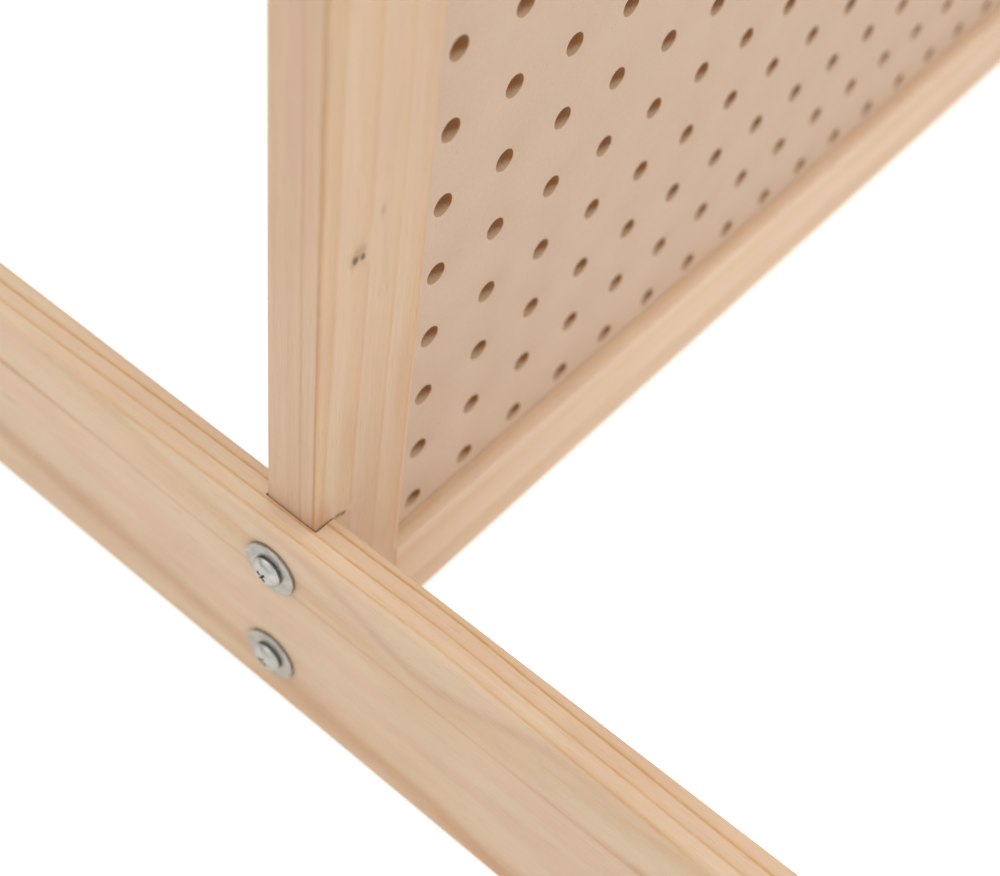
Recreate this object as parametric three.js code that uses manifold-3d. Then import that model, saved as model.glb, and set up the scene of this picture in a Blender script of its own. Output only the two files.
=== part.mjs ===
// Countertop pegboard display stand.
//
// A perforated board sits in the grooves of a softwood frame. The frame's two uprights (stiles)
// drop into notches in two boards set on edge, which are the feet, and each foot is held to its
// stile by two machine screws with wide washers. The screws turn in threaded inserts in the
// stile's edge. Wooden dowels join the frame's corners.
//
// Units are millimetres. +Z is up and the floor is Z = 0. X runs along the board's width and
// Y through its thickness, and the front faces -Y. The origin is the middle of the footprint.

import * as THREE from 'three';
import { mergeGeometries, mergeVertices } from 'three/addons/utils/BufferGeometryUtils.js';
import Module from 'manifold-3d';

const wasm = await Module();
wasm.setup();

// ---- Driving dimensions ----

const INCH = 25.4;

// Perforated board
const HOLE_PITCH = INCH;
const HOLE_COLUMNS = 21;
const HOLE_ROWS = 21;
const HOLE_RADIUS = (9 / 32) * INCH / 2;
const BOARD_THICKNESS = 0.25 * INCH;
const SIDE_MARGIN = 14.3;      // from a stile's inner edge to the nearest column of hole centres
const BOTTOM_MARGIN = 7.9;     // from the bottom rail's top edge to the first row of hole centres
const TOP_MARGIN = 14.3;       // from the last row of hole centres to the top rail

// Frame members, all of one section
const MEMBER_WIDTH = 1.5 * INCH;
const MEMBER_THICKNESS = 0.75 * INCH;
const MEMBER_EASE = 0.6;
const GROOVE_DEPTH = 8;
const BOARD_TONGUE = 7;        // how far the board reaches into each groove
const FRAME_LIFT = 3.2;        // the frame's bottom edge stays this far above the floor

// Feet
const FOOT_LENGTH = 16 * INCH;
const FOOT_HEIGHT = 3.5 * INCH;
const FOOT_THICKNESS = 0.625 * INCH;
const FOOT_EASE = 2.5;
const FOOT_CORNER_RADIUS = 5;
const NOTCH_DEPTH = FOOT_THICKNESS / 2;    // how far the stile drops into the foot's inner face
const NOTCH_SIDE_GAP = 0.4;
const NOTCH_FLOOR_GAP = 0.3;

// Fasteners
const SCREW_HEIGHTS = { lower: 23.4, upper: 69.85 };
const SCREW_RADIUS = 2.5;
const SCREW_LENGTH = 20;
const HEAD_RADIUS = 5.25;
const HEAD_RIM = 0.9;
const HEAD_HEIGHT = 3.3;
const RECESS_SPAN = 5.2;
const RECESS_WIDTH = 1.1;
const RECESS_DEPTH = 2.0;
const WASHER_RADIUS = 0.375 * INCH;
const WASHER_THICKNESS = 1.2;
const INSERT_RADIUS = 4.5;
const INSERT_LENGTH = 12;
const DOWEL_RADIUS = 4;
const DOWEL_LENGTH = 38;
const DOWEL_CHAMFER = 1;
const DOWEL_PLACES = { outer: 8.5, inner: 22.5 };    // from the frame's outer edge

// Room between pieces
const GLUE_GAP = 0.1;          // between two faces that meet
const SLIP_GAP = 0.3;          // round a shaft in its hole
const GROOVE_GAP = 0.15;       // on each side of the board in its groove
const END_GAP = 1;             // past the blind end of a shaft

// Facets
const HOLE_SIDES = 6;
const SHAFT_SIDES = 12;
const BORE_SIDES = 16;
const HEAD_SIDES = 24;
const DOME_STEPS = 3;
const CORNER_STEPS = 3;
const CUT_PAST = 1;            // how far a cutter runs past the face it opens
const MERGE_DISTANCE = 1e-4;   // corners closer than this are one corner

// ---- Worked-out sizes ----

const openingWidth = (HOLE_COLUMNS - 1) * HOLE_PITCH + 2 * SIDE_MARGIN;
const openingHeight = (HOLE_ROWS - 1) * HOLE_PITCH + BOTTOM_MARGIN + TOP_MARGIN;
const frameWidth = openingWidth + 2 * MEMBER_WIDTH;
const frameHeight = openingHeight + 2 * MEMBER_WIDTH;
const frameTop = FRAME_LIFT + frameHeight;
const openingBottom = FRAME_LIFT + MEMBER_WIDTH;
const openingTop = frameTop - MEMBER_WIDTH;
const grooveWidth = BOARD_THICKNESS + 2 * GROOVE_GAP;
const stileX = (openingWidth + MEMBER_WIDTH) / 2;
const stileOuterX = frameWidth / 2;
const notchFloorX = stileOuterX + NOTCH_FLOOR_GAP;
const footOuterX = stileOuterX - NOTCH_DEPTH + FOOT_THICKNESS;
const footX = footOuterX - FOOT_THICKNESS / 2;
const washerOuterX = footOuterX + GLUE_GAP + WASHER_THICKNESS;
const boreRadius = SCREW_RADIUS + SLIP_GAP;
const dowelHoleRadius = DOWEL_RADIUS + SLIP_GAP;
const insertHoleRadius = INSERT_RADIUS + SLIP_GAP;
const dowelPlaces = Object.values(DOWEL_PLACES);
const dowelHeights = [
  ...dowelPlaces.map((place) => FRAME_LIFT + place),
  ...dowelPlaces.map((place) => frameTop - place),
];

// ---- Materials ----

function material(color, roughness, metalness) {
  return new THREE.MeshStandardMaterial({ color, roughness, metalness });
}

const footWood = () => material(0xd2b79a, 0.62, 0);
const frameWood = () => material(0xd8bfa2, 0.6, 0);
const hardboard = () => material(0xc8b096, 0.7, 0);
const dowelWood = () => material(0xc9a676, 0.7, 0);
const zincSteel = () => material(0xb9bfc0, 0.38, 1);
const brass = () => material(0xb9995a, 0.4, 1);

// ---- Solids ----

// A closed solid from a three.js geometry. Seams are merged, and the flat triangles that a lathe
// leaves at its poles are dropped.
function solidFrom(geometry) {
  const bare = geometry.clone();
  bare.deleteAttribute('normal');
  bare.deleteAttribute('uv');
  const merged = mergeVertices(bare, MERGE_DISTANCE);
  const index = merged.index.array;
  const triangles = [];
  for (let i = 0; i < index.length; i += 3) {
    const [a, b, c] = index.slice(i, i + 3);
    if (a !== b && b !== c && c !== a) triangles.push(a, b, c);
  }
  return new wasm.Manifold(new wasm.Mesh({
    numProp: 3,
    vertProperties: new Float32Array(merged.attributes.position.array),
    triVerts: new Uint32Array(triangles),
  }));
}

function geometryFrom(solid) {
  const { vertProperties, triVerts } = solid.getMesh();
  const geometry = new THREE.BufferGeometry();
  geometry.setAttribute('position', new THREE.BufferAttribute(new Float32Array(vertProperties), 3));
  geometry.setIndex(new THREE.BufferAttribute(new Uint32Array(triVerts), 1));
  geometry.computeVertexNormals();
  return geometry;
}

// The blank with every cutter taken out of it.
function cut(blank, cutters = []) {
  let solid = solidFrom(blank);
  for (const cutter of cutters) solid = solid.subtract(solidFrom(cutter));
  return geometryFrom(solid);
}

// A box from its lowest to its highest corner.
function box(low, high) {
  const [x, y, z] = high.map((value, axis) => value - low[axis]);
  const geometry = new THREE.BoxGeometry(x, y, z);
  return geometry.translate((low[0] + high[0]) / 2, (low[1] + high[1]) / 2, (low[2] + high[2]) / 2);
}

// A round bar along X, from startX to endX at height z, on the Y = 0 plane.
function barAlongX(radius, startX, endX, z, sides) {
  const geometry = new THREE.CylinderGeometry(radius, radius, endX - startX, sides);
  return geometry.rotateZ(Math.PI / 2).translate((startX + endX) / 2, 0, z);
}

// A rectangle about the origin with round corners.
function roundedRectangle(width, height, radius) {
  const x = width / 2;
  const y = height / 2;
  const shape = new THREE.Shape();
  shape.absarc(x - radius, y - radius, radius, 0, Math.PI / 2);
  shape.absarc(radius - x, y - radius, radius, Math.PI / 2, Math.PI);
  shape.absarc(radius - x, radius - y, radius, Math.PI, 1.5 * Math.PI);
  shape.absarc(x - radius, radius - y, radius, 1.5 * Math.PI, 2 * Math.PI);
  shape.closePath();
  return shape;
}

// Turns a section drawn in local XY and extruded along local Z so that it runs along X.
const sectionAlongX = new THREE.Matrix4().makeBasis(
  new THREE.Vector3(0, 1, 0),
  new THREE.Vector3(0, 0, 1),
  new THREE.Vector3(1, 0, 0),
);

// A turned solid about the local Y axis.
function turned(profile, sides) {
  return new THREE.LatheGeometry(profile.map(([r, y]) => new THREE.Vector2(r, y)), sides);
}

// ---- Sub-parts ----
// The side pieces are modelled for the left-hand side, and the right-hand side is the same
// assembly turned half round.

function boardGeometry() {
  const width = openingWidth + 2 * BOARD_TONGUE;
  const blank = box(
    [-width / 2, -BOARD_THICKNESS / 2, openingBottom - BOARD_TONGUE],
    [width / 2, BOARD_THICKNESS / 2, openingTop + BOARD_TONGUE],
  );
  // A polygon of the round hole's own area.
  const sector = Math.PI / HOLE_SIDES;
  const cornerRadius = HOLE_RADIUS * Math.sqrt(sector / (Math.sin(sector) * Math.cos(sector)));
  const depth = BOARD_THICKNESS + 2 * CUT_PAST;
  const punches = [];
  for (let column = 0; column < HOLE_COLUMNS; column += 1) {
    for (let row = 0; row < HOLE_ROWS; row += 1) {
      const punch = new THREE.CylinderGeometry(cornerRadius, cornerRadius, depth, HOLE_SIDES);
      const x = (column - (HOLE_COLUMNS - 1) / 2) * HOLE_PITCH;
      punches.push(punch.translate(x, 0, openingBottom + BOTTOM_MARGIN + row * HOLE_PITCH));
    }
  }
  return cut(blank, [mergeGeometries(punches)]);
}

// Bottom rail: its section runs along X, with the groove open at the top.
function railGeometry() {
  const length = openingWidth - 2 * GLUE_GAP;
  const blank = new THREE.ExtrudeGeometry(
    roundedRectangle(MEMBER_THICKNESS, MEMBER_WIDTH, MEMBER_EASE),
    { depth: length, bevelEnabled: false, curveSegments: CORNER_STEPS },
  );
  blank.applyMatrix4(sectionAlongX).translate(-length / 2, 0, 0);
  const top = MEMBER_WIDTH / 2;
  const groove = box(
    [-length / 2 - CUT_PAST, -grooveWidth / 2, top - GROOVE_DEPTH],
    [length / 2 + CUT_PAST, grooveWidth / 2, top + CUT_PAST],
  );
  const holes = [];
  for (const place of dowelPlaces) {
    const depth = DOWEL_LENGTH / 2 + END_GAP;
    for (const end of [-length / 2, length / 2]) {
      const inner = end - Math.sign(end) * depth;
      const outer = end + Math.sign(end) * CUT_PAST;
      const [low, high] = [Math.min(inner, outer), Math.max(inner, outer)];
      holes.push(barAlongX(dowelHoleRadius, low, high, place - MEMBER_WIDTH / 2, BORE_SIDES));
    }
  }
  return cut(blank, [groove, ...holes]);
}

// Left stile: its section runs along Z, with a stopped groove in the edge that faces +X.
function stileGeometry() {
  const blank = new THREE.ExtrudeGeometry(
    roundedRectangle(MEMBER_WIDTH, MEMBER_THICKNESS, MEMBER_EASE),
    { depth: frameHeight, bevelEnabled: false, curveSegments: CORNER_STEPS },
  );
  blank.translate(-stileX, 0, FRAME_LIFT);
  const innerX = -openingWidth / 2;
  const groove = box(
    [innerX - GROOVE_DEPTH, -grooveWidth / 2, openingBottom - GROOVE_DEPTH],
    [innerX + CUT_PAST, grooveWidth / 2, openingTop + GROOVE_DEPTH],
  );
  const dowelHoles = dowelHeights.map((z) => (
    barAlongX(dowelHoleRadius, innerX - DOWEL_LENGTH / 2 - END_GAP, innerX + CUT_PAST, z, BORE_SIDES)
  ));
  const insertHoles = Object.values(SCREW_HEIGHTS).map((z) => barAlongX(
    insertHoleRadius,
    -stileOuterX - CUT_PAST,
    -stileOuterX + GLUE_GAP + INSERT_LENGTH + END_GAP,
    z,
    BORE_SIDES,
  ));
  return cut(blank, [groove, ...dowelHoles, ...insertHoles]);
}

// Left foot: a board on edge, eased all round, with an open notch for the stile and two bores.
function footGeometry() {
  const blank = new THREE.ExtrudeGeometry(
    roundedRectangle(FOOT_LENGTH, FOOT_HEIGHT, FOOT_CORNER_RADIUS),
    {
      depth: FOOT_THICKNESS - 2 * FOOT_EASE,
      bevelThickness: FOOT_EASE,
      bevelSize: FOOT_EASE,
      bevelOffset: -FOOT_EASE,
      bevelSegments: CORNER_STEPS,
      curveSegments: CORNER_STEPS,
    },
  );
  blank.translate(0, 0, FOOT_EASE - FOOT_THICKNESS / 2);
  blank.applyMatrix4(sectionAlongX).translate(-footX, 0, FOOT_HEIGHT / 2);
  const halfNotch = MEMBER_THICKNESS / 2 + NOTCH_SIDE_GAP;
  const notch = box(
    [-notchFloorX, -halfNotch, -CUT_PAST],
    [FOOT_THICKNESS - footX, halfNotch, FOOT_HEIGHT + CUT_PAST],
  );
  const bores = Object.values(SCREW_HEIGHTS).map((z) => (
    barAlongX(boreRadius, -footOuterX - CUT_PAST, -notchFloorX + CUT_PAST, z, BORE_SIDES)
  ));
  return cut(blank, [notch, ...bores]);
}

// Pan-head machine screw with a cross recess. Local Y points out of the head, and Y = 0 is the
// face under the head.
function screwGeometry() {
  const chamfer = SCREW_RADIUS / 4;
  const profile = [
    [0, -SCREW_LENGTH],
    [SCREW_RADIUS - chamfer, -SCREW_LENGTH],
    [SCREW_RADIUS, -SCREW_LENGTH + chamfer],
    [SCREW_RADIUS, 0],
    [HEAD_RADIUS, 0],
  ];
  for (let step = 0; step <= DOME_STEPS; step += 1) {
    const angle = (step / DOME_STEPS) * (Math.PI / 2);
    const radius = step === DOME_STEPS ? 0 : HEAD_RADIUS * Math.cos(angle);
    profile.push([radius, HEAD_RIM + (HEAD_HEIGHT - HEAD_RIM) * Math.sin(angle)]);
  }
  const halfSpan = RECESS_SPAN / 2;
  const halfWidth = RECESS_WIDTH / 2;
  const floor = HEAD_HEIGHT - RECESS_DEPTH;
  const top = HEAD_HEIGHT + CUT_PAST;
  const wings = [
    box([-halfSpan, floor, -halfWidth], [halfSpan, top, halfWidth]),
    box([-halfWidth, floor, -halfSpan], [halfWidth, top, halfSpan]),
  ];
  return cut(turned(profile, HEAD_SIDES), wings);
}

// A ring about local Y, from Y = 0 up to its thickness.
function ringGeometry(innerRadius, outerRadius, thickness, sides) {
  const profile = [
    [innerRadius, 0],
    [outerRadius, 0],
    [outerRadius, thickness],
    [innerRadius, thickness],
    [innerRadius, 0],
  ];
  return cut(turned(profile, sides));
}

function dowelGeometry() {
  const end = DOWEL_LENGTH / 2;
  const profile = [
    [0, -end],
    [DOWEL_RADIUS - DOWEL_CHAMFER, -end],
    [DOWEL_RADIUS, -end + DOWEL_CHAMFER],
    [DOWEL_RADIUS, end - DOWEL_CHAMFER],
    [DOWEL_RADIUS - DOWEL_CHAMFER, end],
    [0, end],
  ];
  return cut(turned(profile, SHAFT_SIDES));
}

// ---- Assembly ----

function piece(name, geometry, look) {
  const mesh = new THREE.Mesh(geometry, look);
  mesh.name = name;
  return mesh;
}

// A turned piece whose local Y axis points away from the stand, towards -X.
function outwardPiece(name, geometry, look, x, z) {
  const mesh = piece(name, geometry, look);
  mesh.rotation.z = Math.PI / 2;
  mesh.position.set(x, 0, z);
  return mesh;
}

function sideAssembly(side) {
  const group = new THREE.Group();
  group.add(piece(`foot_${side}`, footGeometry(), footWood()));
  group.add(piece(`stile_${side}`, stileGeometry(), frameWood()));
  for (const [level, z] of Object.entries(SCREW_HEIGHTS)) {
    const suffix = `${side}_${level}`;
    const washer = ringGeometry(boreRadius, WASHER_RADIUS, WASHER_THICKNESS, HEAD_SIDES);
    const insert = ringGeometry(boreRadius, INSERT_RADIUS, INSERT_LENGTH, BORE_SIDES);
    const washerX = -footOuterX - GLUE_GAP;
    const screwX = -washerOuterX - GLUE_GAP;
    const insertX = -stileOuterX + GLUE_GAP + INSERT_LENGTH;
    group.add(outwardPiece(`foot_washer_${suffix}`, washer, zincSteel(), washerX, z));
    group.add(outwardPiece(`foot_screw_${suffix}`, screwGeometry(), zincSteel(), screwX, z));
    group.add(outwardPiece(`threaded_insert_${suffix}`, insert, brass(), insertX, z));
  }
  for (const [edge, level] of [['bottom', FRAME_LIFT], ['top', frameTop]]) {
    const inward = edge === 'bottom' ? 1 : -1;
    for (const [row, place] of Object.entries(DOWEL_PLACES)) {
      const name = `corner_dowel_${edge}_${side}_${row}`;
      const height = level + inward * place;
      group.add(outwardPiece(name, dowelGeometry(), dowelWood(), -openingWidth / 2, height));
    }
  }
  return group;
}

const stand = new THREE.Group();
stand.add(piece('pegboard', boardGeometry(), hardboard()));

const bottomRail = piece('rail_bottom', railGeometry(), frameWood());
bottomRail.position.z = FRAME_LIFT + MEMBER_WIDTH / 2;
stand.add(bottomRail);

const topRail = piece('rail_top', railGeometry(), frameWood());
topRail.rotation.x = Math.PI;
topRail.position.z = frameTop - MEMBER_WIDTH / 2;
stand.add(topRail);

stand.add(sideAssembly('left'));

const rightSide = sideAssembly('right');
rightSide.rotation.z = Math.PI;
stand.add(rightSide);

export default stand;
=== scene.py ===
"""Countertop pegboard display stand: the looks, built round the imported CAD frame.

Every CAD node is replaced by a finer mesh in the same place, with a procedural material. Lengths are
in metres. The stand faces -Y, X runs along the board, and the floor is Z = 0. Shaders work in
millimetres, in the same frame.
"""

import math

import bmesh
import bpy
from mathutils import Matrix, Vector


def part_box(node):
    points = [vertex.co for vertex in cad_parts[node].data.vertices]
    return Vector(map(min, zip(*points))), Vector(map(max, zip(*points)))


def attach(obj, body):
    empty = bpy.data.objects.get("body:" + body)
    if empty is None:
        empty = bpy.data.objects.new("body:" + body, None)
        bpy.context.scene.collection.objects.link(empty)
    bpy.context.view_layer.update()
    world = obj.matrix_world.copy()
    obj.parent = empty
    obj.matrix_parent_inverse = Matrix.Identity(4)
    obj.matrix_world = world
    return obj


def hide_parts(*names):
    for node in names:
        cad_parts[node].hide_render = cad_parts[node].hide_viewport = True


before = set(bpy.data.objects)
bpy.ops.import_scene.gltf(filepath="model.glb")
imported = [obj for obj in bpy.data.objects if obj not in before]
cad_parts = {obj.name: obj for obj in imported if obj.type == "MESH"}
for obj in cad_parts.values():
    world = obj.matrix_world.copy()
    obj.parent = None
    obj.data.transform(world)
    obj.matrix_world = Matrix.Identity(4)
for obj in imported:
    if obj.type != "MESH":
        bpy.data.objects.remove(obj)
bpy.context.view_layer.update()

MM = 0.001
X, Y, Z = 0, 1, 2
AXES = (Vector((1, 0, 0)), Vector((0, 1, 0)), Vector((0, 0, 1)))
SIDES = ("left", "right")
LEVELS = ("lower", "upper")

# Sizes that can't be read from the frame
HOLE_PITCH = 25.4 * MM
HOLE_COLUMNS = 21
HOLE_ROWS = 21
HOLE_RADIUS = 3.57 * MM
HOLE_CORNERS = 24              # points round each peg hole, a multiple of 8
HOLE_LIP = 0.3 * MM            # the hole's mouth is eased by this much
FIRST_ROW = 7.9 * MM           # first row of hole centres above the bottom rail
MEMBER_EASE = 0.6 * MM         # rounding along the stiles' and rails' arrises
FOOT_EASE = 2.4 * MM           # rounding round the feet's two faces
FOOT_CORNER = 5 * MM           # radius of the feet's corners, seen from the side
SAWN_EASE = 0.12 * MM          # tiny rounding of sawn arrises and hole mouths
GROOVE_GAP = 0.04 * MM         # free space on each side of the board in its groove
BLIND_GAP = 1.0 * MM           # free space past the end of whatever sits in a groove or hole
NOTCH_SIDE_GAP = 0.4 * MM
NOTCH_FLOOR_GAP = 0.3 * MM
SLIP_GAP = 0.3 * MM            # free space round a shank, dowel or insert
WASHER_GAP = 0.1 * MM          # between a washer and the head over it
SHANK_RADIUS = 2.5 * MM
SCREW_PITCH = 0.8 * MM
THREAD_DEPTH = 0.42 * MM
HEAD_RIM = 0.7 * MM            # upright part of a screw head's edge
RECESS_DEPTH = 1.9 * MM
RECESS_MOUTH = (2.1 * MM, 0.5 * MM)     # half-length and half-width of each slot of the cross
RECESS_FLOOR = (1.1 * MM, 0.35 * MM)
RECESS_TURNS = (0.35, 0.7, 1.1, 0.15)   # how far each screw happens to be turned, in radians
INSERT_PITCH = 2.5 * MM
INSERT_THREAD_DEPTH = 0.8 * MM
DOWEL_FLUTES = 12
FLUTE_DEPTH = 0.22 * MM
BIT = 2 * MM                   # how far a cutter runs past the face it opens


# ---- Places, read from the frame ----

def span(node, axis):
    """Lowest and highest value of a node along one axis."""
    low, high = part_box(node)
    return low[axis], high[axis]


def middle(node):
    low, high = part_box(node)
    return (low + high) / 2


def outward(side):
    """-1 on the left-hand side and +1 on the right: the X direction away from the board."""
    return -1 if side == "left" else 1


def face_x(node, side, facing_out=True):
    """The X of a node's outer face, or of its inner one."""
    return span(node, X)[0 if (side == "left") == facing_out else 1]


# ---- Meshes ----

def object_from(name, mesh, materials):
    piece = bpy.data.objects.new(name, mesh)
    bpy.context.scene.collection.objects.link(piece)
    for material in materials:
        mesh.materials.append(material)
    return piece


def smooth(mesh, sharp_degrees=30):
    mesh.shade_smooth()
    mesh.set_sharp_from_angle(angle=math.radians(sharp_degrees))


def mesh_from(bm, name):
    bmesh.ops.recalc_face_normals(bm, faces=bm.faces)
    mesh = bpy.data.meshes.new(name)
    bm.to_mesh(mesh)
    bm.free()
    return mesh


def block(low, high):
    """A box as a bmesh."""
    bm = bmesh.new()
    bmesh.ops.create_cube(bm, size=1)
    bmesh.ops.scale(bm, vec=Vector(high) - Vector(low), verts=bm.verts)
    bmesh.ops.translate(bm, vec=(Vector(high) + Vector(low)) / 2, verts=bm.verts)
    return bm


def rod(start, end, radius, corners=32):
    """A round bar between two points, as a bmesh."""
    bm = bmesh.new()
    line = Vector(end) - Vector(start)
    turn = line.to_track_quat("Z", "Y").to_matrix().to_4x4()
    place = Matrix.Translation((Vector(start) + Vector(end)) / 2) @ turn
    bmesh.ops.create_cone(
        bm, cap_ends=True, segments=corners, radius1=radius, radius2=radius, depth=line.length, matrix=place
    )
    return bm


def round_over(bm, edges, radius, segments):
    bmesh.ops.bevel(bm, geom=edges, offset=radius, segments=segments, profile=0.5, affect="EDGES")


def edges_along(bm, axis):
    """The edges that run along an axis."""
    found = []
    for edge in bm.edges:
        line = (edge.verts[1].co - edge.verts[0].co).normalized()
        if abs(line[axis]) > 0.99:
            found.append(edge)
    return found


def applied(piece):
    """Replaces a piece's mesh by the result of its modifiers."""
    depsgraph = bpy.context.evaluated_depsgraph_get()
    mesh = bpy.data.meshes.new_from_object(piece.evaluated_get(depsgraph))
    piece.modifiers.clear()
    old = piece.data
    piece.data = mesh
    bpy.data.meshes.remove(old)
    return piece


def carve(piece, cutters):
    """Takes each cutter, a bmesh, out of the piece."""
    tools = []
    for number, bm in enumerate(cutters):
        tool = object_from(f"cutter_{number}", mesh_from(bm, "cutter"), [])
        modifier = piece.modifiers.new("carve", "BOOLEAN")
        modifier.operation = "DIFFERENCE"
        modifier.solver = "EXACT"
        modifier.object = tool
        tools.append(tool)
    applied(piece)
    for tool in tools:
        mesh = tool.data
        bpy.data.objects.remove(tool)
        bpy.data.meshes.remove(mesh)
    return piece


def ease_sawn_edges(piece):
    """A tiny rounding along every sharp edge that is left."""
    modifier = piece.modifiers.new("ease", "BEVEL")
    modifier.width = SAWN_EASE
    modifier.segments = 2
    modifier.limit_method = "ANGLE"
    modifier.angle_limit = math.radians(40)
    return applied(piece)


def fit(piece, node):
    """The piece stands for the CAD node, in its place: the node is hidden and the piece hangs under the root
    body.
    """
    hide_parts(node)
    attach(piece, "root")
    return piece


# ---- Shader wiring ----

class Wiring:
    """Short ways to add shader nodes to a node tree. Values may be numbers or sockets."""

    def __init__(self, tree):
        self.tree = tree

    def node(self, kind, inputs=(), **settings):
        made = self.tree.nodes.new(kind)
        for key, value in settings.items():
            setattr(made, key, value)
        for key, value in dict(inputs).items():
            self.plug(made.inputs[key], value)
        return made

    def plug(self, socket, value):
        if isinstance(value, bpy.types.NodeSocket):
            self.tree.links.new(value, socket)
        else:
            socket.default_value = value

    def math(self, operation, a, b=0.0):
        return self.node("ShaderNodeMath", {0: a, 1: b}, operation=operation).outputs[0]

    def add(self, first, *others):
        for other in others:
            first = self.math("ADD", first, other)
        return first

    def times(self, first, *others):
        for other in others:
            first = self.math("MULTIPLY", first, other)
        return first

    def vector(self, operation, a, b=(0, 0, 0)):
        made = self.node("ShaderNodeVectorMath", {0: a, 1: b}, operation=operation)
        return made.outputs["Value" if operation in ("LENGTH", "DOT_PRODUCT") else "Vector"]

    def combine(self, x, y, z):
        return self.node("ShaderNodeCombineXYZ", {0: x, 1: y, 2: z}).outputs[0]

    def split(self, vector):
        return self.node("ShaderNodeSeparateXYZ", {0: vector}).outputs

    def noise(self, vector, scale=1.0, detail=2.0, rough=0.5):
        inputs = {"Vector": vector, "Scale": scale, "Detail": detail, "Roughness": rough}
        return self.node("ShaderNodeTexNoise", inputs).outputs[0]

    def swing(self, vector, amount, **settings):
        """Noise about nought that seldom goes past plus or minus half the amount."""
        return self.times(self.math("SUBTRACT", self.noise(vector, **settings), 0.5), amount)

    def ease(self, value, low, high, to_low=0.0, to_high=1.0):
        """A smooth step from to_low to to_high as the value goes from low to high."""
        inputs = {"Value": value, "From Min": low, "From Max": high, "To Min": to_low, "To Max": to_high}
        return self.node("ShaderNodeMapRange", inputs, interpolation_type="SMOOTHSTEP").outputs[0]

    def hump(self, value, centre, reach, height=1.0):
        """Highest at the centre and nought past the reach."""
        gap = self.math("ABSOLUTE", self.math("SUBTRACT", value, centre))
        return self.ease(gap, 0.0, reach, height, 0.0)

    def mix(self, factor, a, b, blend="MIX"):
        made = self.node("ShaderNodeMix", data_type="RGBA", blend_type=blend)
        for key, value in ((0, factor), (6, a), (7, b)):
            self.plug(made.inputs[key], value)
        return made.outputs[2]

    def shaded(self, tone, shade):
        """A colour times a number."""
        return self.mix(1.0, tone, self.combine(shade, shade, shade), "MULTIPLY")

    def curve(self, value, points):
        """A value ramp through (position, height) points."""
        made = self.node("ShaderNodeValToRGB", {0: value})
        stops = made.color_ramp.elements
        while len(stops) < len(points):
            stops.new(1.0)
        for stop, (position, height) in zip(stops, points):
            stop.position = position
            stop.color = (height, height, height, 1)
        return made.outputs[0]

    def bump(self, height, distance, strength=1.0):
        inputs = {"Height": height, "Distance": distance, "Strength": strength}
        return self.node("ShaderNodeBump", inputs).outputs[0]

    def place(self):
        """The point being shaded, in millimetres in the row's frame."""
        point = self.node("ShaderNodeTexCoord").outputs["Object"]
        return self.vector("MULTIPLY", point, (1 / MM, 1 / MM, 1 / MM))

    def normal(self):
        return self.node("ShaderNodeNewGeometry").outputs["Normal"]


class Finish(Wiring):
    """A new material with one Principled shader."""

    def __init__(self, name):
        self.material = bpy.data.materials.new(name)
        self.material.use_nodes = True
        super().__init__(self.material.node_tree)
        self.shader = self.tree.nodes["Principled BSDF"]

    def set(self, **inputs):
        for key, value in inputs.items():
            self.plug(self.shader.inputs[key.replace("_", " ")], value)
        return self.material


def colour(red, green, blue):
    """A linear colour from sRGB values of 0 to 255."""
    def linear(value):
        share = value / 255
        return share / 12.92 if share <= 0.04045 else ((share + 0.055) / 1.055) ** 2.4
    return (linear(red), linear(green), linear(blue), 1)


# ---- Pine ----

EARLYWOOD = colour(226, 200, 170)
BLUSH = colour(224, 193, 164)
LATEWOOD = colour(206, 159, 99)
RESIN = colour(190, 132, 92)
KNOT = colour(96, 72, 62)

# Across one growth ring, outwards from the pith, as (share of the ring, darkness)
THIN_LATEWOOD = ((0.0, 0.3), (0.05, 0.05), (0.55, 0.05), (0.8, 0.3), (0.89, 0.85), (0.95, 1.0), (1.0, 0.3))
WIDE_LATEWOOD = ((0.0, 0.05), (0.03, 0.0), (0.28, 0.06), (0.5, 0.36), (0.82, 0.5), (0.92, 1.0), (1.0, 0.05))
SOFT_LATEWOOD = ((0.0, 0.25), (0.12, 0.0), (0.45, 0.12), (0.75, 0.7), (0.9, 1.0), (1.0, 0.25))


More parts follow.
